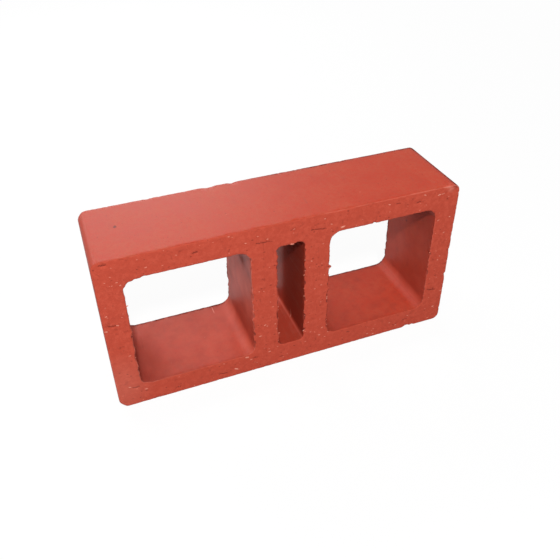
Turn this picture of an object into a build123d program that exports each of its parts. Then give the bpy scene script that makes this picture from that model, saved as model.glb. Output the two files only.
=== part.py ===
from build123d import *

import os

# A hollow fired-clay brick with two large cells and a narrow slot between them.
# A clay column leaves a die with this section, and a wire cuts it to depth, so every
# cell runs straight through and every long edge is round, while the edges of the two
# cut faces are sharp. The brick stands on a long side, with its cells level.
# X runs along the length, Y through the depth from the front cut to the back cut, and
# Z up. The origin is the middle of the side that it stands on. Lengths are millimetres.

# Size of the fired brick
brick_length = 390.0
brick_height = 190.0
brick_depth = 96.0

# Clay between and around the openings
end_wall = 26.0
face_shell = 26.0
web = 28.5
slot_width = 30.0
slot_step = 2.0  # how far the slot stops short of the cells, at its top and at its foot

# Round corners, which the die gives to the outer edges and to the openings
outer_corner_radius = 8.0
cell_corner_radius = 12.5
slot_corner_radius = 6.0

# What is left for the openings
cell_height = brick_height - 2 * face_shell
cell_width = (brick_length - 2 * end_wall - 2 * web - slot_width) / 2
cell_centre = (slot_width + cell_width) / 2 + web
slot_height = cell_height - 2 * slot_step


def openings():
    """The two cells and the slot, drawn about the middle of the section."""
    cell = RectangleRounded(cell_width, cell_height, cell_corner_radius)
    slot = RectangleRounded(slot_width, slot_height, slot_corner_radius)
    return [Pos(-cell_centre, 0) * cell, slot, Pos(cell_centre, 0) * cell]


def section():
    """The clay that the die lets through: a round-cornered block less its openings."""
    block = RectangleRounded(brick_length, brick_height, outer_corner_radius)
    return block - openings()


def brick():
    """The section as a column between the two wire cuts, standing on the floor."""
    column = extrude(Plane.XZ * section(), amount=brick_depth / 2, both=True)
    return Pos(0, 0, brick_height / 2) * column


os.makedirs("parts", exist_ok=True)
export_step(brick(), "parts/brick.step")
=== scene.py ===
# %% [markdown]
# # A hollow clay brick
#
# A hollow brick begins as a column of wet red clay that is pressed through a steel die. The die
# gives the outline and the openings and rubs the clay smooth as it passes. A wire then cuts the
# column to length. The wire drags hard grains along, so the two cut faces come out rough, with
# torn edges round the openings. The kiln makes all of it hard and red.
#
# The brick is one closed surface here. The work goes in this order: the frame, the section, the
# net of faces, the relief that the wire and the years left, the grains, the finishes and the light.

import itertools
import math

import bpy
import numpy as np
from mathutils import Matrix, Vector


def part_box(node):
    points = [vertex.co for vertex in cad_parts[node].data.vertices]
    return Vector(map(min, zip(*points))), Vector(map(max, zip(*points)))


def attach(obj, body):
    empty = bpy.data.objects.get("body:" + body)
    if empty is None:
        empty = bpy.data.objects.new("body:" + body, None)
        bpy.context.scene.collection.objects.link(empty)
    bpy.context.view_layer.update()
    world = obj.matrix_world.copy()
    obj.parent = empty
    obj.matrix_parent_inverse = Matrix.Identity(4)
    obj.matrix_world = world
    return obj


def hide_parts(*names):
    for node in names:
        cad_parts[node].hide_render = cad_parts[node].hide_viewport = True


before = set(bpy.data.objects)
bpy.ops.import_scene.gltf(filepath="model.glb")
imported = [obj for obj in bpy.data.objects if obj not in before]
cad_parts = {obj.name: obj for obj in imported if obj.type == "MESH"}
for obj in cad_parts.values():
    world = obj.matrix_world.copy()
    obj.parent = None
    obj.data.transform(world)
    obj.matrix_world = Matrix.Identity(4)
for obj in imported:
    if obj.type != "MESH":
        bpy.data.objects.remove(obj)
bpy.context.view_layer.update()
MM_PER_METRE = 1000.0
brick_low, brick_high = (np.array(corner) * MM_PER_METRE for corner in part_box("brick"))
print("brick in mm, from", brick_low.round(2), "to", brick_high.round(2))

# %% [markdown]
# ## The section
#
# The section is what the die lets through: a round-cornered block with two cells and a narrow
# slot. Everything later asks the same question of it: how far is this point from that edge? So the
# section is kept as a few round-cornered rectangles, and one formula gives the distance to each.
# All lengths are millimetres until a mesh is made, because the clay was measured that way.

# %% Sizes of the section
LENGTH, DEPTH, HEIGHT = brick_high - brick_low
HALF_DEPTH = DEPTH / 2
FRONT, BACK = -HALF_DEPTH, HALF_DEPTH
END_WALL = 26.0
FACE_SHELL = 26.0
WEB = 28.5
SLOT_WIDTH = 30.0
SLOT_STEP = 2.0
OUTER_RADIUS = 8.0
CELL_RADIUS = 12.5
SLOT_RADIUS = 6.0

CELL_INNER = SLOT_WIDTH / 2 + WEB
CELL_OUTER = LENGTH / 2 - END_WALL
WEB_MIDDLE = SLOT_WIDTH / 2 + WEB / 2

# Each rectangle is its left, right, bottom and top, then the corner radius at its left and right.
BLOCK = (-LENGTH / 2, LENGTH / 2, 0.0, HEIGHT, OUTER_RADIUS, OUTER_RADIUS)
LEFT_CELL = (-CELL_OUTER, -CELL_INNER, FACE_SHELL, HEIGHT - FACE_SHELL, CELL_RADIUS, CELL_RADIUS)
RIGHT_CELL = (CELL_INNER, CELL_OUTER, FACE_SHELL, HEIGHT - FACE_SHELL, CELL_RADIUS, CELL_RADIUS)
SLOT = (-SLOT_WIDTH / 2, SLOT_WIDTH / 2, FACE_SHELL + SLOT_STEP,
        HEIGHT - FACE_SHELL - SLOT_STEP, SLOT_RADIUS, SLOT_RADIUS)
OPENINGS = (LEFT_CELL, SLOT, RIGHT_CELL)


def corner_offsets(x, z, rectangle):
    """How far a point lies past the centre of the nearest corner's arc, in x and in z.

    It is |point - middle| less half the size, plus the corner radius, so both parts are above 0
    only in a corner."""
    left, right, bottom, top, radius, _ = rectangle
    qx = np.abs(x - (left + right) / 2) - (right - left) / 2 + radius
    qz = np.abs(z - (bottom + top) / 2) - (top - bottom) / 2 + radius
    return qx, qz


def distance_to(x, z, rectangle):
    """Distance to a rectangle's edge, above 0 outside it and below 0 inside.

    It is the length of the offsets' positive parts, plus the larger offset where both are below
    0, less the corner radius."""
    qx, qz = corner_offsets(x, z, rectangle)
    outside = np.hypot(np.maximum(qx, 0), np.maximum(qz, 0))
    return outside + np.minimum(np.maximum(qx, qz), 0) - rectangle[4]


def direction_from(x, z, rectangle):
    """Unit direction straight away from a rectangle's edge, as two arrays.

    It is the offsets' positive parts with the signs of point - middle, and on the flat of a side
    it is that side's own direction."""
    left, right, bottom, top, _, _ = rectangle
    qx, qz = corner_offsets(x, z, rectangle)
    deep = (qx <= 0) & (qz <= 0)
    ax = np.where(deep, qx >= qz, np.maximum(qx, 0))
    az = np.where(deep, qx < qz, np.maximum(qz, 0))
    size = np.hypot(ax, az)
    return ax / size * np.sign(x - (left + right) / 2), az / size * np.sign(z - (bottom + top) / 2)


print("cells", CELL_OUTER - CELL_INNER, "mm wide, webs", WEB, "mm thick")

# %% [markdown]
# ## The net of faces
#
# A grid of four-sided faces has to follow every outline, so that an edge can be torn cleanly. Each
# opening gets a ring: a grid whose first row lies on the opening and whose last row lies on the
# outside of the clay, or on the middle of a web, where it meets the next ring. The walls are the
# same outlines carried along the depth. Rows crowd near the cut edges, where the detail is.

# %% Outlines as rows of points
ACROSS_CELL = 108
ACROSS_SLOT = 36
UP = 120
ARC_POINTS = 33


def outline(rectangle, across, up):
    """Points round a rectangle, anticlockwise from the middle of its lower left corner.

    Each corner is its centre plus the radius at an angle that runs over a quarter turn. The points
    are then picked at equal steps of length between one corner's middle and the next."""
    left, right, bottom, top, left_radius, right_radius = rectangle
    arcs, middles, count = [], [], 0
    for side, level, turn in ((-1, -1, 180), (1, -1, 270), (1, 1, 0), (-1, 1, 90)):
        radius = left_radius if side < 0 else right_radius
        angle = np.radians(turn + np.linspace(0, 90, ARC_POINTS if radius else 1))
        x = (left + radius if side < 0 else right - radius) + radius * np.cos(angle)
        z = (bottom + radius if level < 0 else top - radius) + radius * np.sin(angle)
        arcs.append(np.stack([x, z], -1))
        middles.append(count + len(x) // 2)
        count += len(x)
    loop = np.roll(np.concatenate(arcs), -middles[0], axis=0)
    loop = np.vstack([loop, loop[:1]])
    run = np.r_[0, np.cumsum(np.linalg.norm(np.diff(loop, axis=0), axis=1))]
    stops = run[[m - middles[0] for m in middles] + [count]]
    steps = [np.linspace(a, b, n, endpoint=False)
             for a, b, n in zip(stops[:-1], stops[1:], (across, up, across, up))]
    at = np.concatenate(steps)
    return np.stack([np.interp(at, run, loop[:, 0]), np.interp(at, run, loop[:, 1])], -1)


def crowded_rows(count, ease):
    """Numbers from 0 to 1 that crowd at both ends: t less ease times sin(2 pi t) / (2 pi)."""
    t = np.linspace(0, 1, count)
    return t - ease * np.sin(2 * np.pi * t) / (2 * np.pi)


# %% Rings and walls
RING_ROWS = crowded_rows(22, 0.62)
WALL_ROWS = FRONT + DEPTH * crowded_rows(19, 0.88)

rings = []
for opening, left, right, across in (
    (LEFT_CELL, -LENGTH / 2, -WEB_MIDDLE, ACROSS_CELL),
    (SLOT, -WEB_MIDDLE, WEB_MIDDLE, ACROSS_SLOT),
    (RIGHT_CELL, WEB_MIDDLE, LENGTH / 2, ACROSS_CELL),
):
    radii = (OUTER_RADIUS * (left < -LENGTH / 2 + 1), OUTER_RADIUS * (right > LENGTH / 2 - 1))
    inner = outline(opening, across, UP)
    outer = outline((left, right, 0.0, HEIGHT, *radii), across, UP)
    rings.append((inner, outer, across))


def ring_grid(inner, outer, y):
    """A cut face's ring: inner (1 - t) + outer t for each row's t, at one depth y."""
    t = RING_ROWS[:, None, None]
    flat = inner * (1 - t) + outer * t
    return np.stack([flat[..., 0], np.full(flat.shape[:2], y), flat[..., 1]], -1)


def wall_grid(profile):
    """A wall: the profile's points carried along the depth, one row for each depth."""
    shape = (len(WALL_ROWS), len(profile))
    columns = [np.broadcast_to(column, shape) for column in (profile[:, 0], profile[:, 1])]
    return np.stack([columns[0], np.broadcast_to(WALL_ROWS[:, None], shape), columns[1]], -1)


def outside_runs(outer, across, part):
    """The runs of a ring's outer outline that lie on the brick's outside, in order."""
    loop = np.vstack([outer, outer])
    bottom, right, top = across, across + UP, 2 * across + UP
    if part == 0:
        return [loop[right:len(outer) + bottom + 1]]
    if part == 1:
        return [loop[:bottom + 1], loop[right:top + 1]]
    return [loop[:top + 1]]


print("rings:", len(rings), "of", len(RING_ROWS), "rows each, walls of", len(WALL_ROWS), "rows")

# %% [markdown]
# The patches are made one by one, and points that fall on the same place are merged, so the
# surface closes. The merge comes before the relief, because then a shared edge is torn only once.

# %% One closed net
def grid_faces(rows, columns, closed, turned):
    """Corner numbers of a grid's faces. A closed grid's last column meets its first one."""
    row = np.arange(rows - 1)[:, None]
    column = np.arange(columns if closed else columns - 1)[None, :]
    after = (column + 1) % columns
    corners = [row * columns + column, row * columns + after,
               (row + 1) * columns + after, (row + 1) * columns + column]
    faces = np.stack([np.broadcast_to(c, (rows - 1, column.size)) for c in corners], -1)
    faces = faces.reshape(-1, 4)
    return faces[:, ::-1] if turned else faces


patches = []
for part, (inner, outer, across) in enumerate(rings):
    patches.append((ring_grid(inner, outer, FRONT), True, True, 0))
    patches.append((ring_grid(inner, outer, BACK), True, False, 0))
    patches.append((wall_grid(inner), True, False, 1))
    for run in outside_runs(outer, across, part):
        patches.append((wall_grid(run), False, True, 1))

points, faces, finish_of_face, start = [], [], [], 0
for grid, closed, turned, finish in patches:
    made = grid_faces(grid.shape[0], grid.shape[1], closed, turned) + start
    points.append(grid.reshape(-1, 3))
    faces.append(made)
    finish_of_face.append(np.full(len(made), finish))
    start += grid.shape[0] * grid.shape[1]
points, faces, finish_of_face = map(np.concatenate, (points, faces, finish_of_face))

MERGE_STEP = 0.001
keys = np.round(points / MERGE_STEP).astype(np.int64)
_, first, merged_to = np.unique(keys, axis=0, return_index=True, return_inverse=True)
net = points[first]
faces = merged_to.reshape(-1)[faces]

edges = np.sort(np.stack([faces, np.roll(faces, -1, 1)], -1).reshape(-1, 2), 1)
_, uses = np.unique(edges, axis=0, return_counts=True)
print("net:", len(net), "points,", len(faces), "faces, edges not shared by two faces:", (uses != 2).sum())

# %% [markdown]
# ## Relief
#
# Clay is never quite flat. Soft random bumps of a known grain size stand for the roughness of the
# clay, and the same bumps decide where an edge crumbles. The random numbers are seeded, so the
# brick is the same brick every time.

# %% Soft random bumps
LATTICE_SIZE = 48


def soft_bumps(spots, grain, seed):
    """Random bumps from -1 to 1 with that grain in mm, which may differ in x, y and z.

    A random number sits at each corner of a lattice, and a point takes a mix of the eight round
    it, weighted by the smooth step 3 t^2 - 2 t^3 of its place between them."""
    lattice = np.random.default_rng(seed).uniform(-1, 1, (LATTICE_SIZE,) * 3)
    scaled = spots / np.asarray(grain, float) + 0.37
    cell = np.floor(scaled).astype(int)
    t = scaled - cell
    t = t * t * (3 - 2 * t)
    total = np.zeros(len(spots))
    for corner in itertools.product((0, 1), repeat=3):
        weight = np.prod(np.where(corner, t, 1 - t), axis=1)
        total += weight * lattice[tuple(((cell + corner) % LATTICE_SIZE).T)]
    return total


def fade(distance, reach):
    """1 at distance 0 and falling off as a bell: exp(-(distance / reach)^2)."""
    return np.exp(-(distance / reach) ** 2)


def rising(value, middle, width):
    """0 well below the middle and 1 well above it: 1 / (1 + exp(-(value - middle) / width)).

    With a width below 0 it falls instead."""
    return 1 / (1 + np.exp(-(value - middle) / width))


# %% Where each point lies
x, y, z = net.T
side_of_cut = np.where(y < 0, -1.0, 1.0)
cut_gap = HALF_DEPTH - np.abs(y)
rim_gap = -distance_to(x, z, BLOCK)
gaps = np.array([distance_to(x, z, opening) for opening in OPENINGS])
nearest = gaps.argmin(0)
hole_gap = gaps.min(0)
ways = np.array([direction_from(x, z, opening) for opening in OPENINGS])
hole_x, hole_z = ways[nearest, :, np.arange(len(net))].T
rim_x, rim_z = direction_from(x, z, BLOCK)
# An edge has its own bumps, so that both of its sides tear together.
arris = np.stack([x - hole_x * hole_gap, y * 0.35, z - hole_z * hole_gap], -1)
print("points on the cut faces:", int((cut_gap < 0.01).sum()))

# %% [markdown]
# Where the wire leaves an opening's upright edges, it pulls crumbs off the corner and smears others
# over it. The edges that lie level come out cleaner. So the tear is strong on upright edges and weak
# on level ones, it comes and goes along the edge, and it dies out a few millimetres into the clay.

# %% Torn edges of the openings
TEAR_LIMIT = 1.7
upright = np.abs(hole_x) ** 2
patchy = 0.75 + 0.45 * soft_bumps(arris, 34.0, 11)
# The back is torn least, and the cells' front edges are torn less in their upper part.
calm_top = 0.4 + 0.6 * rising(z, 108, -6)
calm = np.where(side_of_cut > 0, 0.2, np.where(nearest == 1, 1.0, calm_top))
strength = (0.25 + 1.0 * upright * calm) * patchy
# The right cell's left edge is torn most, a third of the way up.
strength *= 1 + 0.9 * fade(np.hypot((x - CELL_INNER) / 8, (z - 58) / 34), 1.0)

coarse = soft_bumps(arris, 4.2, 12)
fine = soft_bumps(arris, 2.1, 13)
chipped = np.maximum(coarse + 0.7 * fine - 0.1, 0)
smeared = np.maximum(-coarse - 0.8 * fine - 0.2, 0)
tear = TEAR_LIMIT * np.tanh(strength * (2.3 * chipped - 1.6 * smeared) / TEAR_LIMIT)
tear_reach = fade(hole_gap, 1.7) * fade(cut_gap, 2.4)
crumbled = 0.45 * np.clip(tear, 0, 1.6) * fade(hole_gap, 0.9)
ragged = upright * calm * np.clip(0.5 + 0.7 * soft_bumps(arris, 3.1, 14), 0, 1) * fade(hole_gap, 0.8)
crumbled += 0.6 * ragged
print("torn edges run from", (tear * tear_reach).min().round(2), "to", (tear * tear_reach).max().round(2))

# %% [markdown]
# The outer edge of a cut only loses small crumbs. They come from noise of their own, which is taken
# at the nearest point of that edge, so that the cut face and the pressed wall lose the same crumb.

# %% Nicks along the outer edges
rim_place = np.stack([x - rim_x * rim_gap, y * 0.35, z - rim_z * rim_gap], -1)
nicked = np.clip(soft_bumps(rim_place, 3.4, 15) + 0.6 * soft_bumps(rim_place, 1.9, 16) - 0.3, 0, 1)
nicks = 0.75 * nicked * fade(rim_gap, 0.9) * fade(cut_gap, 1.3)
print("nicks reach", nicks.max().round(2), "mm")

# %% [markdown]
# Handling knocks the sharp edges. Small chips have places of their own: each is a ball of influence
# round a point of an edge, with a bumpy outline, that pushes the clay back along its own direction.

# %% Chips
# Each chip: its place, the way it pushes, its reach and its depth. The first twenty follow the
# picture, and the last five are guesses on the back.
CHIPS = (
    ((151.0, FRONT, 0.0), (0, 0.6, 1.0), 6.5, 1.7),
    ((158.0, FRONT, 0.0), (0, 0.6, 1.0), 3.5, 1.0),
    ((-192.5, FRONT, 3.0), (0.7, 0.5, 0.7), 7.0, 1.6),
    ((194.5, FRONT, 68.0), (-1.0, 0.6, 0), 3.5, 1.2),
    ((194.5, FRONT, 104.0), (-1.0, 0.6, 0), 4.0, 0.8),
    ((93.6, FRONT, 164.0), (0, 0.5, 1.0), 2.6, 1.3),
    ((-157.0, FRONT, 164.0), (0, 0.5, 1.0), 2.0, 0.7),
    ((-169.0, FRONT, 151.0), (-1.0, 0.4, 0), 7.0, 0.6),
    ((-158.5, FRONT, 163.0), (0.3, 0, 1.0), 10.0, -1.9),
    ((44.0, FRONT, 121.0), (-1.0, 0, 0), 3.4, -2.6),
    ((-193.0, BACK, 187.0), (0.7, -0.3, -0.7), 7.0, 1.0),
    ((0.5, FRONT, 162.0), (0, 0, 1.0), 3.0, -1.2),
    ((7.0, FRONT, 162.0), (0, 0.3, 1.0), 2.6, 0.6),
    ((-47.0, FRONT, 29.5), (0.7, 0.2, -0.7), 10.0, 2.2),
    ((47.0, FRONT, 29.5), (-0.7, 0.2, -0.7), 9.0, 2.0),
    ((-165.5, FRONT, 29.5), (-0.7, 0.2, -0.7), 9.0, 1.8),
    ((-58.0, BACK, HEIGHT), (0, -0.5, -1.0), 9.0, 0.9),
    ((-32.0, BACK, HEIGHT), (0, -0.5, -1.0), 6.0, 0.9),
    ((185.0, FRONT, HEIGHT), (0, 0.6, -1.0), 7.0, 0.8),
    ((-183.0, FRONT, 187.0), (0, 1.0, 0), 3.5, 0.9),
    ((120.0, BACK, 0.0), (0, -0.6, 1.0), 8.0, 1.8),
    ((-90.0, BACK, 0.0), (0, -0.6, 1.0), 5.0, 1.2),
    ((-194.5, BACK, 60.0), (1.0, -0.6, 0), 6.0, 1.3),
    ((194.5, BACK, 138.0), (-1.0, -0.6, 0), 5.0, 1.2),
    ((62.0, BACK, 164.0), (0, -0.5, 1.0), 4.5, 1.3),
)
CHIP_CORE_SHARE = 0.62
moved = np.zeros_like(net)
bumpy = 1 + 0.35 * soft_bumps(net, 2.8, 21)
for centre, way, reach, depth in CHIPS:
    away = np.linalg.norm(net - centre, axis=1) * bumpy
    push = np.array(way) / np.linalg.norm(way)
    moved += np.outer(depth * fade(away, reach * CHIP_CORE_SHARE), push)
print("chips reach", np.linalg.norm(moved, axis=1).max().round(2), "mm")

# %% [markdown]
# The cut face itself is a low, grainy landscape, and all of it lies below the height that the wire
# ran at. Its outer edge is rubbed a little round. Tears are short lines that a dragged grain opened.
# Each one is kept twice: as a groove in the mesh, and as its distance, which the finish reads later
# to draw the groove's dark line, which is painted shade, more finely than the mesh could.

# %% Tears in the cut faces
# Each tear: its middle across and up, its length and its tilt in degrees. The first eight were read
# off the picture, to about half a millimetre, and the last three are made up.
FRONT_TEARS = (
    (-28.5, 171.5, 16.0, -4.0), (30.0, 172.5, 15.0, -7.0), (178.5, 49.0, 10.0, -10.0),
    (-186.0, 113.5, 6.0, -4.0), (-81.0, 8.0, 8.0, -6.0), (-132.0, 7.0, 4.5, 5.0),
    (-175.0, 24.5, 6.0, -6.0), (-183.5, 186.5, 5.0, -6.0), (120.0, 182.0, 4.0, -12.0),
    (-12.0, 10.0, 3.5, 6.0), (71.0, 18.5, 3.0, -15.0),
)
SHELL_LEVELS = (7.0, 13.0, 19.0, 171.0, 178.0, 184.0)
FAR = 99.0


def random_tears(count, seed, longest):
    """Tears anywhere along the two face shells, as rows of across, up, length and tilt."""
    rng = np.random.default_rng(seed)
    across = rng.uniform(-185, 185, count)
    up = rng.choice(SHELL_LEVELS, count)
    return np.stack([across, up, rng.uniform(3, longest, count), rng.uniform(-10, 10, count)], -1).tolist()


front_tears = [*FRONT_TEARS, *random_tears(4, 129, 5)]
back_tears = random_tears(15, 31, 15)

tear_near = np.full(len(net), FAR)
tear_side = np.full(len(net), FAR)
for cut, tears in ((-1.0, front_tears), (1.0, back_tears)):
    on_cut = (side_of_cut == cut) & (cut_gap < 3)
    for across, up, length, tilt in tears:
        c, s = math.cos(math.radians(tilt)), math.sin(math.radians(tilt))
        along = (x - across) * c + (z - up) * s
        beside = (z - up) * c - (x - across) * s
        past = np.maximum(np.abs(along) - length / 2, 0)
        away = np.where(on_cut, np.hypot(past, beside), FAR)
        nearer = away < tear_near
        tear_side = np.where(nearer, beside, tear_side)
        tear_near = np.minimum(tear_near, away)
groove = 0.7 * fade(tear_near, 0.9)
print("tears:", len(front_tears), "in front and", len(back_tears), "behind")

# %% [markdown]
# Now the relief is put together. On the cut faces it is grit, drag marks, tears, pits and rubbed
# edges, and it sinks the face inwards. On the pressed walls it is long waves and streaks, which
# run the way the die rubbed, and a torn or softly rounded edge where a wall meets a cut.

# %% Cut faces and pressed walls
DRAG_GRAIN = (14.0, 9.0, 1.7)
WAVE_GRAIN = (15.0, 150.0, 15.0)
STREAK_GRAIN = (3.0, 70.0, 3.0)

grainy = (0.24 + 0.09 * soft_bumps(net, 1.9, 41) + 0.08 * soft_bumps(net, 5.0, 42)
          + 0.08 * soft_bumps(net, 26.0, 43))
dragged = 0.06 * soft_bumps(net, DRAG_GRAIN, 44)
pits = 0.4 * np.clip(soft_bumps(net, 2.6, 45) * 3.6 - 2.5, 0, 1)
rubbed = 0.28 * (1 + 0.6 * soft_bumps(net, 7.0, 46)) * fade(rim_gap, 0.9)
rubbed += 0.2 * (1 + 0.6 * soft_bumps(net, 5.0, 47)) * fade(hole_gap, 0.8)
inward = np.maximum(grainy + dragged + groove, 0.05) + pits + rubbed + crumbled + 0.5 * nicks

wavy = 0.06 * (1 + soft_bumps(net, WAVE_GRAIN, 48)) + 0.02 * (1 + soft_bumps(net, STREAK_GRAIN, 49))
wavy += 0.22 * (1 + 0.6 * soft_bumps(net, 6.0, 50)) * fade(cut_gap, 0.9)

on_rim = fade(rim_gap, 1.2)
on_hole = fade(hole_gap, 1.2)
moved[:, 0] += (tear * tear_reach + wavy * on_hole) * hole_x - (nicks + wavy * on_rim) * rim_x
moved[:, 2] += (tear * tear_reach + wavy * on_hole) * hole_z - (nicks + wavy * on_rim) * rim_z
moved[:, 1] -= side_of_cut * inward * fade(cut_gap, 1.6)
clay = np.clip(net + moved, brick_low, brick_high)
print("relief: mean", np.linalg.norm(moved, axis=1).mean().round(3), "mm, most",
      np.linalg.norm(moved, axis=1).max().round(2), "mm")

# %% [markdown]
# ## The brick's mesh
#
# The numbers now go into Blender in one go. Some of them go along as attributes, which are values
# kept at the points: how dark a point is stained or painted in shade, how worn it is or painted
# with sheen, how far inside an opening it is, which sets painted shade there, how far a tear is,
# and where the smallest marks are.
#
# Stains are dark: the pits and nicks, a grey smudge and a broken back edge on the left cell's right
# wall, and a thin film on the left cell's floor. A dark line also runs along the back edges. The
# rest is painted shade: the shaded sides of the torn edges, a dark line at the right end of the
# top, where its rounded edge turns away from the lamps, and a darker patch at the left foot of
# each cell, where its left wall shades the floor.

# %% Stains and painted shade
def near_place(centre, half_sizes):
    """A soft ellipsoid: 1 at its centre and falling off over its half sizes."""
    return fade(np.linalg.norm((net - centre) / half_sizes, axis=1), 1.0)


on_wall = hole_gap < 0.5
smudge = 0.72 * near_place((-CELL_INNER, -15.0, 133.0), (1, 20, 13)) * (0.8 + 0.5 * soft_bumps(net, 5.0, 61))
broken_back = 1.3 * near_place((-CELL_INNER, BACK, 80.0), (2, 4, 13))
# Painted shade on the torn edges: under the torn lips, and along the left edges, which face away from the
# lamp.
shaded = 0.6 * np.clip(tear, 0, 1.4) * fade(hole_gap, 0.6) * fade(cut_gap, 2.0)
shaded += np.where(hole_x < 0, 1.0, 0.2) * ragged * fade(cut_gap, 1.0)

# Painted shade: a dark line where the rounded right end of the top turns away from the lamps.
painted_end_edge_shade = 0.95 * fade(np.hypot(x - LENGTH / 2 + 4.6, z - HEIGHT + 0.8), 3.2)
painted_end_edge_shade *= 0.9 + 0.3 * soft_bumps(net, 9.0, 67)
# On the outside the dark line along the back edges starts at the middle, and in the openings it runs all
# along.
starts_at = np.where(hole_gap < 1.2, -200.0, 0.0)
back_arris = 1.2 * (side_of_cut > 0) * fade(cut_gap, 3.0) * fade(np.minimum(rim_gap, hole_gap), 1.0)
back_arris *= (0.8 + 0.5 * soft_bumps(net, 4.0, 66)) * rising(x, starts_at, 20)

# Painted shade at the left foot of each cell, where its left wall shades the floor; it also deepens the
# painted shade inside.
painted_foot_shade = on_wall * (1.25 * fade(x + CELL_OUTER, 26.0) + 0.5 * fade(x - CELL_INNER, 20.0))
painted_foot_shade *= (0.9 + 0.4 * soft_bumps(net, 11.0, 64)) * fade(z - FACE_SHELL, 18.0) * rising(y, 12, -12)
floor_film = 0.1 * (nearest == 0) * on_wall * (hole_z < -0.6)
# The attribute holds real stains and painted shade together.
stain_and_shade = np.clip(pits + smudge + broken_back + shaded + painted_end_edge_shade + back_arris
                + 0.5 * nicks + 0.3 * painted_foot_shade + floor_film, 0, 1)
print("stained more than half:", int((stain_and_shade > 0.5).sum()), "points")

# %% [markdown]
# Worn clay is paler. The outer edges of the cuts are rubbed, most at the front's upper right corner.
# The same attribute also holds painted light. A pale painted sheen lies on the left cell's walls and
# floor: strongest on the upper part of its right wall, where it stands for the reflection of the
# bright floor behind, and as a painted highlight along the fillet at its right foot. A weaker painted
# light lies on the right cell's right wall. The slot's lower right corner and the lower left of the
# front are paler too.

# %% Worn places and painted sheen
rim_wear = fade(rim_gap, 0.9) * fade(cut_gap, 1.4) * (0.2 + 0.45 * rising(x, 60, 30))
rim_wear *= 1 + 0.9 * soft_bumps(net, 7.0, 62)
corner_wear = 1.2 * fade(np.linalg.norm(net - (184.0, FRONT, HEIGHT - 1), axis=1), 7.5)
corner_wear *= 0.5 + 0.5 * soft_bumps(net, 2.4, 63)

foot_curve = fade((x + CELL_INNER + 4) / 7, 1.0) * fade((z - FACE_SHELL - 4) / 7, 1.0)
# Painted sheen in the left cell, a painted highlight along its right foot, and painted light on the right
# cell's right wall.
painted_sheen_and_paleness = 0.32 + 0.53 * (hole_x > 0.6) * rising(z, 62, 10) + 0.25 * foot_curve
painted_sheen_and_paleness = np.where(nearest == 0, painted_sheen_and_paleness, 0.36 * (nearest == 2) * (hole_x > 0.7))
painted_sheen_and_paleness += 0.6 * fade(np.hypot(x - SLOT_WIDTH / 2 + 1.8, z - SLOT[2] - 1.8), 1.7)
painted_sheen_and_paleness *= on_wall * (1 + 0.35 * soft_bumps(net, 12.0, 65)) * (1 - 0.7 * np.clip(smudge, 0, 1))
painted_sheen_and_paleness += 0.4 * (cut_gap < 0.01) * near_place((-188.0, FRONT, 30.0), (40, 20, 60))
wear_and_painted_sheen = np.clip(rim_wear + corner_wear + painted_sheen_and_paleness, 0, 1)
print("worn more than half:", int((wear_and_painted_sheen > 0.5).sum()), "points")

# %% [markdown]
# Deep inside, the skin is painted darker, as painted shade, and its sheen is duller. The slot counts
# as deepest, less so towards its back, where light comes in. The cells count as nearly halfway, more
# in the painted shade at their left feet. The right cell's right wall is deeper than that at its
# front, where the shade falls, and less deep at its back. The outside isn't inside.

# %% How far inside a point is, which sets the painted shade deep inside
far_in = rising(y, 17, 3)
right_wall = (hole_x > 0.7) * (0.22 - 0.38 * rising(y, 14, 9))
inside = np.where(nearest == 1, 1.0 - 0.55 * far_in, 0.45 + (nearest == 2) * right_wall + 0.58 * painted_foot_shade)
inside = np.where(rim_gap < hole_gap, 0.0, np.clip(inside, 0, 1))
print("inside runs from", inside.min().round(2), "to", inside.max().round(2))

# %% [markdown]
# A few marks are smaller than the faces of the walls. Each is an ellipsoid, kept as the place of
# every point in the ellipsoid's own axes. Those three numbers change evenly over a face, so the
# finish can find the mark between the points: it is where their length is below about 1.

# %% Small marks on the pressed walls
FAR_OFF = (FAR, FAR, FAR)


def in_axes_of(mark):
    """The net's points as seen from a mark: turned about its slope in y and z, less its half sizes."""
    centre, half, slope = mark
    off = net - centre
    c, s = math.cos(math.radians(slope)), math.sin(math.radians(slope))
    turned = np.stack([off[:, 0], off[:, 1] * c + off[:, 2] * s, off[:, 2] * c - off[:, 1] * s], -1)
    return turned / half


# Each mark: its centre, its half sizes, and its slope in degrees. Parts 0 to 2 are the walls of the
# left cell, the slot and the right cell, and part 3 is the outside.
SCRATCHES = {
    0: ((-66.3, 39.0, FACE_SHELL), (0.55, 6.5, 3.0), 0.0),
    1: ((SLOT_WIDTH / 2, -9.0, 34.0), (3.0, 0.9, 6.0), -20.0),
}
DOTS = {
    2: ((CELL_OUTER, 6.9, 116.2), (3.0, 1.7, 1.5), 0.0),
    3: ((-162.9, 6.6, HEIGHT), (1.8, 2.3, 3.0), 0.0),
}
part_of_point = np.where(rim_gap < hole_gap, 3, nearest)
scratch_place, dot_place = np.tile(FAR_OFF, (2, len(net), 1))
for marks, place in ((SCRATCHES, scratch_place), (DOTS, dot_place)):
    for part, mark in marks.items():
        place[part_of_point == part] = in_axes_of(mark)[part_of_point == part]
print("small marks:", len(SCRATCHES), "scratches and", len(DOTS), "dots")


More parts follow.
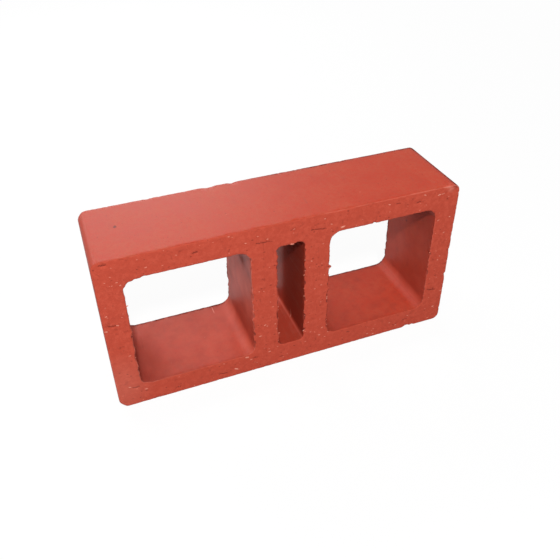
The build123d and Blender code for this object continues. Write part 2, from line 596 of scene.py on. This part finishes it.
# %% Put a surface into Blender
def make_piece(name, points_mm, corners, attributes, smooth):
    """A mesh object at the origin from points in mm and rows of corner numbers of one length."""
    mesh = bpy.data.meshes.new(name)
    mesh.from_pydata((points_mm / MM_PER_METRE).tolist(), [], corners.tolist())
    mesh.polygons.foreach_set("use_smooth", np.full(len(mesh.polygons), smooth))
    for title, values in attributes.items():
        threes = np.ndim(values) == 2
        layer = mesh.attributes.new(title, "FLOAT_VECTOR" if threes else "FLOAT", "POINT")
        layer.data.foreach_set("vector" if threes else "value", np.ravel(values).astype(np.float32))
    mesh.update()
    piece = bpy.data.objects.new(name, mesh)
    bpy.context.scene.collection.objects.link(piece)
    return piece


brick = make_piece("hollow_brick", clay, faces, {
    "stain_and_shade": stain_and_shade, "wear_and_painted_sheen": wear_and_painted_sheen, "inside": inside,
    "scratch_place": scratch_place, "dot_place": dot_place,
    "tear_side": np.clip(tear_side, -6, 6), "tear_near": np.clip(tear_near, 0, 6)}, True)
brick.data.polygons.foreach_set("material_index", finish_of_face.astype(np.int32))
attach(brick, "root")
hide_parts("brick")
print("hollow_brick:", len(brick.data.polygons), "faces,", 2 * len(brick.data.polygons), "triangles")

# %% [markdown]
# ## Grains
#
# The clay holds grog: fired clay, crushed and mixed in so that the brick shrinks less. It stays
# paler than the clay round it. The wire lays some of the grains bare, and pushes others onto the
# torn edges. Each one is a small lumpy ball, made from one grid of angles for all of them at once.
# It is settled on the clay as the relief left it, so that none hangs free where an edge is torn.

# %% Places of the grains
# A pale crumb sits in the middle of the slot's upper edge: across, up and size.
SLOT_TOP_CRUMB = (0.5, 162.0, 1.5)
UPRIGHT_EDGES = (LEFT_CELL[0], SLOT[0], SLOT[1], RIGHT_CELL[0], RIGHT_CELL[1])
EDGE_SHARES = (0.12, 0.3, 0.22, 0.26, 0.1)


def clear_of_openings(across, up, margin):
    """Whether a point of the cut face is clay, at least margin from every edge."""
    on_block = distance_to(across, up, BLOCK) < -margin
    return on_block & np.all([distance_to(across, up, o) > margin for o in OPENINGS], axis=0)


def scattered(count, seed, low_size, high_size, margin=1.6):
    """Random places on a cut face, at least margin from every edge.

    Sizes follow u^3, so most grains are small and a few are large."""
    rng = np.random.default_rng(seed)
    across, up = rng.uniform(-193, 193, count * 4), rng.uniform(2, HEIGHT - 2, count * 4)
    keep = np.flatnonzero(clear_of_openings(across, up, margin))[:count]
    size = low_size + (high_size - low_size) * rng.uniform(0, 1, len(keep)) ** 3
    return np.stack([across[keep], up[keep], size], -1)


def on_edges(count, seed):
    """Crumbs on the upright edges of the openings: a side, a height and a size for each."""
    rng = np.random.default_rng(seed)
    edge = rng.choice(UPRIGHT_EDGES, count, p=EDGE_SHARES)
    up = rng.uniform(32, 138, count)
    return np.stack([edge + rng.normal(0, 0.5, count), up, 0.4 + 0.9 * rng.uniform(0, 1, count) ** 2], -1)


# The larger grains of the front have a draw and a margin of their own, so that none overhangs.
large = scattered(30, 97, 1.0, 1.9, 3.5)
front = np.vstack([large, SLOT_TOP_CRUMB, scattered(95, 71, 0.45, 1.2), on_edges(30, 72)])
back = np.vstack([scattered(150, 73, 0.45, 2.0), on_edges(30, 74)])
cut_of_grain = np.r_[np.full(len(front), -1.0), np.full(len(back), 1.0)]
print("grains:", len(front), "in front and", len(back), "behind")


# %% Settle them on the clay
HOLD_SHARE = 0.3


def settled(spots, cut):
    """Grains moved onto a cut face, with the depth of the clay below the wire's plane as a column.

    Each grain looks for the nearest point of the face. Within HOLD_SHARE of its size of that point
    it stays where it is, and from further off it moves straight towards the point until it is."""
    face = clay[(cut_gap < 0.01) & (side_of_cut == cut)]
    off = spots[:, None, :2] - face[None, :, (0, 2)]
    closest = (off ** 2).sum(-1).argmin(1)
    off = off[np.arange(len(spots)), closest]
    stretch = np.minimum(1, HOLD_SHARE * spots[:, 2] / np.maximum(np.linalg.norm(off, axis=1), 1e-6))
    held = face[closest][:, (0, 2)] + off * stretch[:, None]
    return np.column_stack([held, spots[:, 2], HALF_DEPTH - np.abs(face[closest, 1])])


grains = np.vstack([settled(front, -1.0), settled(back, 1.0)])
under = grains[:, 3]
print("clay under the grains lies from", under.min().round(2), "to", under.max().round(2), "mm deep")

# %% Lumpy balls
GRAIN_ROWS = 6
GRAIN_COLUMNS = 7
GRAIN_GROWTH = 1.4
GRAIN_SHAPE = (1.2, 0.5, 0.18)
STANDS_OUT = 0.12
LEAST_DEPTH = 0.04


def lumpy_balls(spots, cut, seed):
    """Corners of every grain, as an array of grains by points by 3.

    A point is the ball's own direction at a latitude and a longitude, times GRAIN_GROWTH of the
    grain's size, times GRAIN_SHAPE along x, z and the depth, times a random lump from 0.75 to
    1.25. It is then turned about the depth axis and moved to its place. It stands STANDS_OUT mm
    out of the clay, though at least 0.5 and at most 0.8 of its half depth, and less where that
    would bring it within LEAST_DEPTH of the wire's plane."""
    rng = np.random.default_rng(seed)
    latitude = np.linspace(0, np.pi, GRAIN_ROWS)[1:-1]
    longitude = np.linspace(0, 2 * np.pi, GRAIN_COLUMNS, endpoint=False)
    down, around = np.meshgrid(latitude, longitude, indexing="ij")
    ball = np.stack([np.sin(down) * np.cos(around), np.sin(down) * np.sin(around), np.cos(down)], -1)
    ball = np.vstack([[[0, 0, 1]], ball.reshape(-1, 3), [[0, 0, -1]]])
    lumps = rng.uniform(0.75, 1.25, (len(spots), len(ball), 1))
    half = GRAIN_GROWTH * spots[:, 2][:, None]
    local = ball[None] * lumps * half[..., None] * GRAIN_SHAPE
    turn = rng.uniform(-0.5, 0.5, len(spots))[:, None]
    across = local[..., 0] * np.cos(turn) - local[..., 1] * np.sin(turn)
    rise = local[..., 0] * np.sin(turn) + local[..., 1] * np.cos(turn)
    top = np.abs(local[..., 2]).max(1, keepdims=True)
    sunk = np.maximum(spots[:, 3][:, None] - np.clip(STANDS_OUT, 0.5 * top, 0.8 * top), LEAST_DEPTH)
    depth = cut[:, None] * (HALF_DEPTH - sunk - top - local[..., 2])
    return np.stack([spots[:, 0][:, None] + across, depth, spots[:, 1][:, None] + rise], -1)


def ball_faces():
    """Corner numbers of one ball: a fan round each pole and a closed grid between them."""
    middle = grid_faces(GRAIN_ROWS - 2, GRAIN_COLUMNS, True, False) + 1
    column = np.arange(GRAIN_COLUMNS)
    after = (column + 1) % GRAIN_COLUMNS
    last = 1 + (GRAIN_ROWS - 3) * GRAIN_COLUMNS
    first_fan = np.stack([np.zeros_like(column), column + 1, after + 1], -1)
    last_fan = np.stack([np.full_like(column, last + GRAIN_COLUMNS), last + after, last + column], -1)
    quads = np.vstack([middle[:, [0, 3, 2]], middle[:, [0, 2, 1]]])
    return np.vstack([first_fan, quads, last_fan])


grain_points = lumpy_balls(grains, cut_of_grain, 75)
one_ball = ball_faces()
grain_faces = one_ball[None] + (np.arange(len(grains)) * grain_points.shape[1])[:, None, None]
grain_faces = np.where(cut_of_grain[:, None, None] < 0, grain_faces[..., ::-1], grain_faces)
tone = 0.5 * np.random.default_rng(76).uniform(0, 1, len(grains))
tone += 0.5 * np.clip((grains[:, 2] - 0.4) / 1.2, 0, 1)
tone = np.repeat(tone, grain_points.shape[1])
grog = make_piece("grog_grains", grain_points.reshape(-1, 3), grain_faces.reshape(-1, 3),
                  {"tone": tone}, False)
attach(grog, "root")
print("grog_grains:", len(grog.data.polygons), "triangles, each grain", len(one_ball))

# %% [markdown]
# ## Finishes
#
# Iron in the clay burns to iron oxide in the kiln, which is the red. The same clay looks different
# on the two kinds of surface. Where the wire cut it, it is open and dull. Where the die pressed it,
# fine clay was rubbed to the surface, and it has a soft sheen at a low angle. Both are built from
# noise whose grain is given in millimetres, on the piece's own coordinates.

# %% Small helpers for materials
def linear(hex_colour):
    """An sRGB hex colour as linear red, green, blue and alpha.

    Each channel is c / 12.92 up to 0.04045, and ((c + 0.055) / 1.055)^2.4 above it."""
    c = np.array([int(hex_colour[i:i + 2], 16) for i in (1, 3, 5)]) / 255
    c = np.where(c <= 0.04045, c / 12.92, ((c + 0.055) / 1.055) ** 2.4)
    return (*c.tolist(), 1.0)


def per_metre(grain_mm):
    """The noise scale whose bumps are about that many millimetres across."""
    return MM_PER_METRE / grain_mm


def add_node(tree, kind, inputs=None, **settings):
    """Adds a node, sets it, and fills its inputs with values or with links from other sockets."""
    node = tree.nodes.new("ShaderNode" + kind)
    for name, value in settings.items():
        setattr(node, name, value)
    for name, value in (inputs or {}).items():
        if isinstance(value, bpy.types.NodeSocket):
            tree.links.new(value, node.inputs[name])
        else:
            node.inputs[name].default_value = value
    return node


def new_finish(name):
    """An empty material with a Principled shader, and its tree, shader and object coordinates."""
    material = bpy.data.materials.new(name)
    material.use_nodes = True
    tree = material.node_tree
    tree.nodes.clear()
    shader = add_node(tree, "BsdfPrincipled")
    add_node(tree, "OutputMaterial", {"Surface": shader.outputs["BSDF"]})
    coordinates = add_node(tree, "TexCoord").outputs["Object"]
    return material, tree, shader, coordinates


def between(tree, value, low, high, to_low=0.0, to_high=1.0):
    """A socket that runs from to_low to to_high as value goes from low to high, and stays there."""
    inputs = {"Value": value, "From Min": low, "From Max": high, "To Min": to_low, "To Max": to_high}
    return add_node(tree, "MapRange", inputs, clamp=True).outputs["Result"]


def mixed(tree, share, first_colour, second_colour):
    """A colour socket that mixes two colours, or a socket and a colour, by a share."""
    node = add_node(tree, "Mix", data_type="RGBA")
    for index, value in ((0, share), (6, first_colour), (7, second_colour)):
        if isinstance(value, bpy.types.NodeSocket):
            tree.links.new(value, node.inputs[index])
        else:
            node.inputs[index].default_value = value
    return node.outputs[2]


def worked_out(tree, operation, *values):
    """A socket that holds the result of one operation on numbers or on other sockets."""
    return add_node(tree, "Math", dict(enumerate(values)), operation=operation).outputs[0]


def attribute(tree, name):
    """A socket with a value that the mesh keeps at its points."""
    return add_node(tree, "Attribute", attribute_name=name).outputs["Fac"]


def noise(tree, where, grain_mm, detail):
    """A socket of soft noise about 0.5, with bumps of that grain in mm."""
    inputs = {"Vector": where, "Scale": per_metre(grain_mm), "Detail": detail}
    return add_node(tree, "TexNoise", inputs).outputs[0]


def strewn(tree, where, grain_mm, channel, start, largest, soft, most=1.0):
    """A socket that is most inside small round spots and 0 elsewhere.

    Space is cut into cells of that grain, and each has random numbers from 0 to 1. A cell whose
    number of that channel is above start holds a spot, whose radius grows from 0 up to largest.
    Both largest and the width of its soft edge are shares of the grain."""
    cells = add_node(tree, "TexVoronoi", {"Vector": where, "Scale": per_metre(grain_mm)})
    number = add_node(tree, "SeparateColor", {"Color": cells.outputs["Color"]}).outputs[channel]
    radius = between(tree, number, start, 1.0, 0.0, largest)
    within = worked_out(tree, "SUBTRACT", radius, cells.outputs["Distance"])
    return between(tree, within, 0.0, soft, 0.0, most)


# %% Colours
CLAY = linear("#B74835")
CLAY_DEEP = linear("#A8402F")
CLAY_WARM = linear("#C2523E")
SKIN = linear("#AD452E")
SKIN_RED = linear("#B22A14")
SKIN_DEEP = linear("#A83822")
# A darker skin red, used for grit and as the painted shade deep inside.
DARK_SKIN_AND_SHADE = linear("#862C1F")
# A dark red for torn clay, pits and dots, and for painted shade.
DARK_RED_AND_SHADE = linear("#5E1F18")
# A sooty dark for stains and for painted shade.
SOOT_AND_SHADE = linear("#6B3A38")
GROG = linear("#E09A87")
GROG_DEEP = linear("#CB7561")
DUST = linear("#D9907F")
# A pale pink for wear and for the painted sheen.
WEAR_AND_SHEEN_PINK = linear("#E0705F")
FIRED_CLAY_IOR = 1.25
print("wire-cut clay in linear light:", [round(part, 3) for part in CLAY[:3]])

# %% [markdown]
# Wire-cut clay: patches some 20 mm wide are a shade lighter or darker, warmer crumbs lie some 4 mm
# apart, and specks of grog and small pocks are strewn over it, drawn out the way the wire went. The
# grit is drawn at 1.1 mm, coarser than real grit, so that it still shows at the camera's distance.

# %% Wire-cut fired clay
cut_clay, tree, shader, where = new_finish("fired_clay_wire_cut")
shades = noise(tree, where, 22.0, 4.0)
grit = noise(tree, where, 1.1, 3.0)
crumbs = noise(tree, where, 4.5, 3.0)
colour = mixed(tree, between(tree, shades, 0.35, 0.65, 0.75, 1.0), CLAY_DEEP, CLAY)
colour = mixed(tree, between(tree, crumbs, 0.45, 0.65, 0.0, 0.6), colour, CLAY_WARM)
colour = mixed(tree, between(tree, grit, 0.3, 0.5, 0.4, 0.0), colour, CLAY_DEEP)

dragged_out = add_node(tree, "Mapping", {"Vector": where, "Scale": (0.6, 1.0, 1.0)}).outputs[0]
specks = strewn(tree, dragged_out, 5.5, channel=0, start=0.66, largest=0.15, soft=0.04, most=0.55)
pocks = strewn(tree, dragged_out, 4.0, channel=1, start=0.45, largest=0.19, soft=0.03)
colour = mixed(tree, specks, colour, GROG)
colour = mixed(tree, worked_out(tree, "MULTIPLY", pocks, 0.55), colour, DARK_RED_AND_SHADE)

# %% Tears, stains, painted shade and worn edges on it
line_side = attribute(tree, "tear_side")
line_near = attribute(tree, "tear_near")
wobble = between(tree, crumbs, 0.3, 0.7, -0.7, 0.7)
off_line = worked_out(tree, "ABSOLUTE", worked_out(tree, "ADD", line_side, wobble))
line = between(tree, off_line, 0.35, 0.85, 1.0, 0.0)
close = between(tree, line_near, 0.9, 1.6, 1.0, 0.0)
broken = between(tree, grit, 0.36, 0.5, 0.25, 0.72)
# The dark line drawn along each tear is painted shade in its groove.
torn = worked_out(tree, "MULTIPLY", worked_out(tree, "MULTIPLY", line, close), broken)
colour = mixed(tree, torn, colour, DARK_RED_AND_SHADE)

# Stains and painted shade darken the cut clay towards a dark red.
staining_and_shade = attribute(tree, "stain_and_shade")
colour = mixed(tree, between(tree, staining_and_shade, 0.0, 1.0, 0.0, 0.85), colour, DARK_RED_AND_SHADE)
# Wear makes it paler. Near the openings' edges the same attribute also holds some painted sheen, and at the
# front's lower left a pale patch.
wear_and_sheen = attribute(tree, "wear_and_painted_sheen")
colour = mixed(tree, between(tree, wear_and_sheen, 0.2, 1.0, 0.0, 0.55), colour, DUST)
tree.links.new(colour, shader.inputs["Base Color"])
shader.inputs["Roughness"].default_value = 0.92
shader.inputs["IOR"].default_value = FIRED_CLAY_IOR

height = worked_out(tree, "ADD", crumbs, grit)
for sunken in (torn, pocks):
    height = worked_out(tree, "SUBTRACT", height, sunken)
bump = add_node(tree, "Bump", {"Height": height, "Strength": 0.5, "Distance": 0.0005})
tree.links.new(bump.outputs[0], shader.inputs["Normal"])
print(cut_clay.name, "has", len(tree.nodes), "nodes")

# %% [markdown]
# Die-pressed clay: the die rubs along the depth, so its faint streaks run that way, a few
# millimetres apart and many times as long. Redder mottles some 4 mm apart, pale specks and small
# pinholes break the skin up, and deep inside there are darker mottles too, part of the painted
# shade there. Its grit is drawn at 1.2 mm, coarser than it is, so that it shows. The skin has a
# soft sheen, uneven as a thumb would leave it. Deep inside it is painted darker as shade and is
# duller, where it is stained or painted in shade it is duller too, and a little dust lies deep inside.

# %% Die-pressed fired clay
skin_clay, tree, shader, where = new_finish("fired_clay_die_pressed")
drawn_out = add_node(tree, "Mapping", {"Vector": where, "Scale": (1.0, 0.04, 1.0)}).outputs[0]
streaks = noise(tree, drawn_out, 4.0, 3.0)
clouds = noise(tree, where, 30.0, 3.0)
grit = noise(tree, where, 1.2, 3.0)
crumbs = noise(tree, where, 4.5, 3.0)
colour = mixed(tree, between(tree, clouds, 0.3, 0.7), SKIN_DEEP, SKIN)
colour = mixed(tree, between(tree, streaks, 0.35, 0.65, 0.0, 0.12), colour, SKIN_DEEP)
colour = mixed(tree, between(tree, crumbs, 0.4, 0.65, 0.0, 0.35), colour, SKIN_RED)
colour = mixed(tree, between(tree, grit, 0.3, 0.48, 0.3, 0.0), colour, DARK_SKIN_AND_SHADE)
specks = strewn(tree, where, 11.0, channel=0, start=0.8, largest=0.07, soft=0.02, most=0.5)
colour = mixed(tree, specks, colour, GROG)

# Painted shade deep inside: it darkens the skin, adds darker mottles and dulls the sheen.
deep = attribute(tree, "inside")
mottles = noise(tree, where, 10.0, 3.0)
mottled = worked_out(tree, "MULTIPLY", between(tree, mottles, 0.45, 0.7, 0.0, 0.45),
                     between(tree, deep, 0.0, 0.45))
colour = mixed(tree, mottled, colour, DARK_SKIN_AND_SHADE)
pinholes = strewn(tree, where, 5.0, channel=1, start=0.6, largest=0.17, soft=0.015, most=0.45)
colour = mixed(tree, pinholes, colour, DARK_RED_AND_SHADE)
# Painted shade in the openings: deep inside, the skin is mixed towards a dark red.
colour = mixed(tree, between(tree, deep, 0.0, 1.0, 0.0, 0.7), colour, DARK_SKIN_AND_SHADE)

# %% Stains, painted shade, dust and small marks on it
# Stains and painted shade darken the skin towards sooty and dark reds.
staining_and_shade = attribute(tree, "stain_and_shade")
colour = mixed(tree, between(tree, staining_and_shade, 0.0, 1.0, 0.0, 0.75), colour, SOOT_AND_SHADE)
colour = mixed(tree, between(tree, staining_and_shade, 0.7, 1.0, 0.0, 0.9), colour, DARK_RED_AND_SHADE)
dusty = between(tree, streaks, 0.4, 0.7, 0.0, 0.07)
for thinned_by in (between(tree, mottles, 0.42, 0.62), between(tree, deep, 0.6, 1.0)):
    dusty = worked_out(tree, "MULTIPLY", dusty, thinned_by)
colour = mixed(tree, dusty, colour, DUST)
for title, most, mark_colour in (("scratch_place", 0.5, DUST), ("dot_place", 0.9, DARK_RED_AND_SHADE)):
    own_place = add_node(tree, "Attribute", attribute_name=title).outputs["Vector"]
    from_middle = add_node(tree, "VectorMath", {0: own_place}, operation="LENGTH").outputs["Value"]
    rough_edge = worked_out(tree, "ADD", from_middle, grit)
    colour = mixed(tree, between(tree, rough_edge, 1.2, 1.6, most, 0.0), colour, mark_colour)
# Wear makes the skin paler, and so do the painted sheen and painted light that the same attribute holds.
wear_and_sheen = attribute(tree, "wear_and_painted_sheen")
colour = mixed(tree, between(tree, wear_and_sheen, 0.2, 1.0, 0.0, 0.5), colour, WEAR_AND_SHEEN_PINK)
tree.links.new(colour, shader.inputs["Base Color"])

# %% Its sheen and its relief
rough = worked_out(tree, "ADD", between(tree, clouds, 0.3, 0.7, 0.48, 0.52),
                   between(tree, deep, 0.5, 1.0, 0.0, 0.22))
tree.links.new(rough, shader.inputs["Roughness"])
dulled = worked_out(tree, "MULTIPLY", between(tree, deep, 0.4, 1.0, 0.5, 0.15),
                    between(tree, staining_and_shade, 0.3, 0.75, 1.0, 0.0))
tree.links.new(dulled, shader.inputs["Specular IOR Level"])
shader.inputs["IOR"].default_value = FIRED_CLAY_IOR

height = worked_out(tree, "ADD", streaks, grit)
bump = add_node(tree, "Bump", {"Height": height, "Strength": 0.3, "Distance": 0.00025})
tree.links.new(bump.outputs[0], shader.inputs["Normal"])
print(skin_clay.name, "has", len(tree.nodes), "nodes")

# %% [markdown]
# Grog: each grain has its own tone between two pale reds, from an attribute, and a chalky surface.

# %% Crushed grog
grog_clay, tree, shader, where = new_finish("crushed_grog")
chalk = noise(tree, where, 0.9, 2.0)
colour = mixed(tree, attribute(tree, "tone"), GROG_DEEP, GROG)
colour = mixed(tree, between(tree, chalk, 0.4, 0.6, 0.0, 0.4), colour, CLAY_WARM)
tree.links.new(colour, shader.inputs["Base Color"])
shader.inputs["Roughness"].default_value = 0.95
shader.inputs["IOR"].default_value = FIRED_CLAY_IOR
bump = add_node(tree, "Bump", {"Height": chalk, "Strength": 0.4, "Distance": 0.0003})
tree.links.new(bump.outputs[0], shader.inputs["Normal"])

brick.data.materials.append(cut_clay)
brick.data.materials.append(skin_clay)
grog.data.materials.append(grog_clay)
print(grog_clay.name, "has", len(tree.nodes), "nodes")

# %% [markdown]
# ## Floor, light and camera
#
# The brick stands on a pale floor in a white room. A small lamp in front, above and a little to the
# left, gives the slanting shadows inside the openings, and a large one above it fills them. Two more
# stand behind, one straight and one to the left, and the smooth top mirrors them as a sheen that
# fades to the right. The white of the floor and the room is a glow of their own that Light Path
# shows to the camera and to mirrored light alone, so the lamps needn't be bright to reach it.

# %% Floor
FLOOR_HALF = 8.0
FLOOR_GAP = 0.0002
floor_mesh = bpy.data.meshes.new("studio_floor")
floor_mesh.from_pydata([(-FLOOR_HALF, -FLOOR_HALF, 0), (FLOOR_HALF, -FLOOR_HALF, 0),
                        (FLOOR_HALF, FLOOR_HALF, 0), (-FLOOR_HALF, FLOOR_HALF, 0)], [], [(0, 1, 2, 3)])
floor = bpy.data.objects.new("studio_floor", floor_mesh)
floor.location = (0, 0, -FLOOR_GAP)
bpy.context.scene.collection.objects.link(floor)


def seen_directly(tree):
    """A socket that is 1 for rays of the camera, of gloss and of glass, and 0 for soft light."""
    path = add_node(tree, "LightPath").outputs
    seen = worked_out(tree, "MAXIMUM", path["Is Camera Ray"], path["Is Glossy Ray"])
    return worked_out(tree, "MAXIMUM", seen, path["Is Transmission Ray"])


# Near the brick the floor is a little less white than the room, so that a shadow shows on it. From
# half a metre to two and a half metres away it grows as white as the room, so no horizon is seen.
WHITE_SHARE = 0.94
WHITENS_FROM = 0.5
WHITE_FROM = 2.5
paint = bpy.data.materials.new("white_studio_floor")
paint.use_nodes = True
tree = paint.node_tree
tree.nodes.clear()
paleness = between(tree, seen_directly(tree), 0.0, 1.0, 0.65, 0.9)
matt = add_node(tree, "BsdfDiffuse", {"Color": paleness})
glow = add_node(tree, "Emission", {"Color": (1, 1, 1, 1), "Strength": 1.0})
floor_place = add_node(tree, "TexCoord").outputs["Object"]
from_brick = add_node(tree, "VectorMath", {0: floor_place}, operation="LENGTH").outputs["Value"]
white_share = between(tree, from_brick, WHITENS_FROM, WHITE_FROM, WHITE_SHARE, 1.0)
glow_share = worked_out(tree, "MULTIPLY", seen_directly(tree), white_share)
surface = add_node(tree, "MixShader", {0: glow_share, 1: matt.outputs[0], 2: glow.outputs[0]})
add_node(tree, "OutputMaterial", {"Surface": surface.outputs[0]})
floor_mesh.materials.append(paint)
print("floor:", 2 * FLOOR_HALF, "m wide, white from", WHITE_FROM, "m on")

# %% White room
ROOM_LIGHT = 0.06
world = bpy.data.worlds.new("white_room")
bpy.context.scene.world = world
world.use_nodes = True
tree = world.node_tree
tree.nodes.clear()
room_strength = between(tree, seen_directly(tree), 0.0, 1.0, ROOM_LIGHT, 1.0)
sky = add_node(tree, "Background", {"Color": (1, 1, 1, 1), "Strength": room_strength})
add_node(tree, "OutputWorld", {"Surface": sky.outputs[0]})
print("room:", ROOM_LIGHT, "of white on the brick")


# %% Lamps
def soft_lamp(name, location, target, size, power):
    """A square lamp at a place in metres that faces a target. It isn't seen by the camera itself."""
    data = bpy.data.lights.new(name, "AREA")
    data.shape = "SQUARE"
    data.size = size
    data.energy = power
    lamp = bpy.data.objects.new(name, data)
    way = np.array(target, float) - location
    yaw = math.atan2(way[1], way[0]) - math.pi / 2
    tip = math.acos(-way[2] / np.linalg.norm(way))
    lamp.location = location
    lamp.rotation_euler = (tip, 0, yaw)
    lamp.visible_camera = False
    bpy.context.scene.collection.objects.link(lamp)


soft_lamp("front_lamp", (-0.26, -1.06, 1.29), (0, 0, 0.09), 0.11, 22.0)
soft_lamp("fill_lamp", (-0.3, -0.9, 1.8), (0, 0, 0.09), 0.8, 9.0)
soft_lamp("sheen_lamp", (0.07, 1.45, 0.97), (0, 0, 0.12), 0.8, 12.5)
soft_lamp("side_sheen_lamp", (-0.8, 1.3, 1.0), (0, 0, 0.12), 0.7, 11.0)
print("lamps:", ", ".join(light.name for light in bpy.data.lights))

# %% Camera
# The camera's place, turn and lens come from a camera that was fitted to the brick's own edges in
# the picture. The picture's middle lies a little below the lens's axis, hence the small shift.
CAMERA_PLACE = (-0.19733, -0.53685, 0.53462)
CAMERA_TURN = (54.8407, 0.5174, -21.1463)
LENS_MM = 41.34
LENS_SHIFT = (-0.0008, -0.0654)
camera_data = bpy.data.cameras.new("camera")
camera_data.sensor_width = 36.0
camera_data.lens = LENS_MM
camera_data.shift_x, camera_data.shift_y = LENS_SHIFT
camera_data.clip_end = 100.0
camera = bpy.data.objects.new("camera", camera_data)
camera.location = CAMERA_PLACE
camera.rotation_euler = [math.radians(turn) for turn in CAMERA_TURN]
bpy.context.scene.collection.objects.link(camera)
bpy.context.scene.camera = camera
bpy.context.scene.view_settings.view_transform = "Standard"
print("camera:", LENS_MM, "mm lens at", CAMERA_PLACE)
